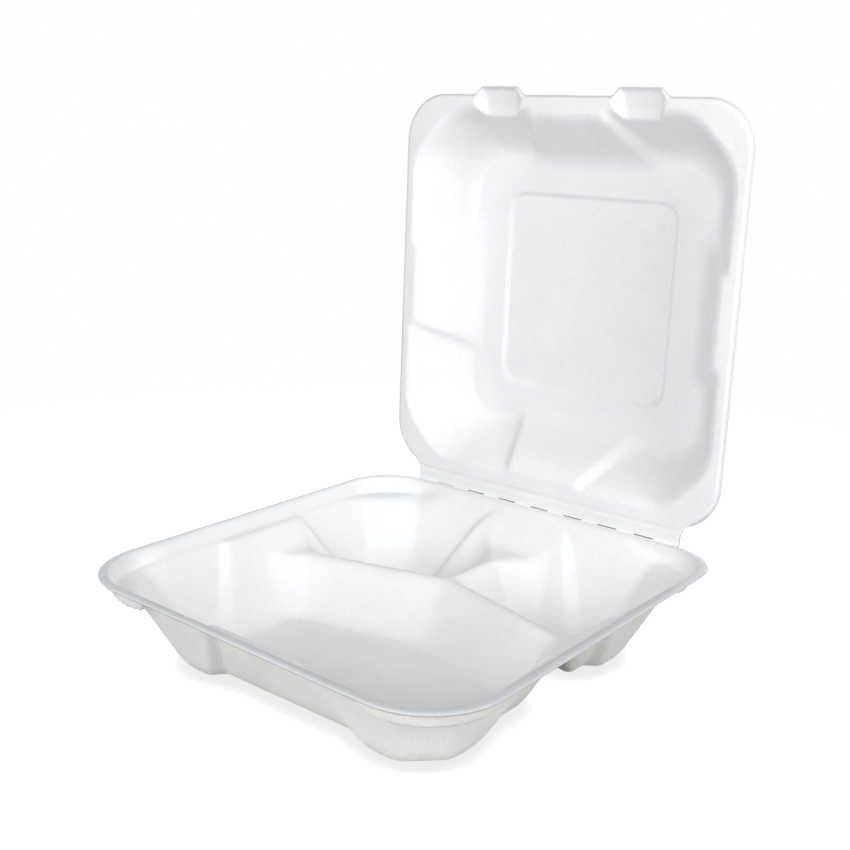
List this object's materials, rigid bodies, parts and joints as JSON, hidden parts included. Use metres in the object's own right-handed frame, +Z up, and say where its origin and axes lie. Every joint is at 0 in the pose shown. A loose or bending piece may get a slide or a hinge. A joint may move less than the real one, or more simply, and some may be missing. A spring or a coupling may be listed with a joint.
{
  "type": "hinged food container",
  "caption": "Moulded fibre clamshell: a square tray divided into a large front and small back compartments, with a lid hinged on a perforated fold and closed by front tabs.",
  "frame": {"origin": "centre of the tray's underside, on the table", "axes": "+X along the hinge to the right of someone facing the open front, +Y from the front to the hinge, +Z up"},
  "size_m": [0.229, 0.2683, 0.2751],
  "materials": {
    "tray_fibre": "matte moulded fibre",
    "lid_fibre": "matte moulded fibre"
  },
  "bodies": {
    "tray": {"base_tray": "tray_fibre"},
    "lid": {"lid": "lid_fibre"}
  },
  "joints": [
    {"name": "lid_hinge", "type": "hinge", "parent": "tray", "child": "lid", "pos_m": [0, 0.1145, 0.04815], "axis": [1, 0, 0], "range_deg": [-88, 91.5]}
  ]
}
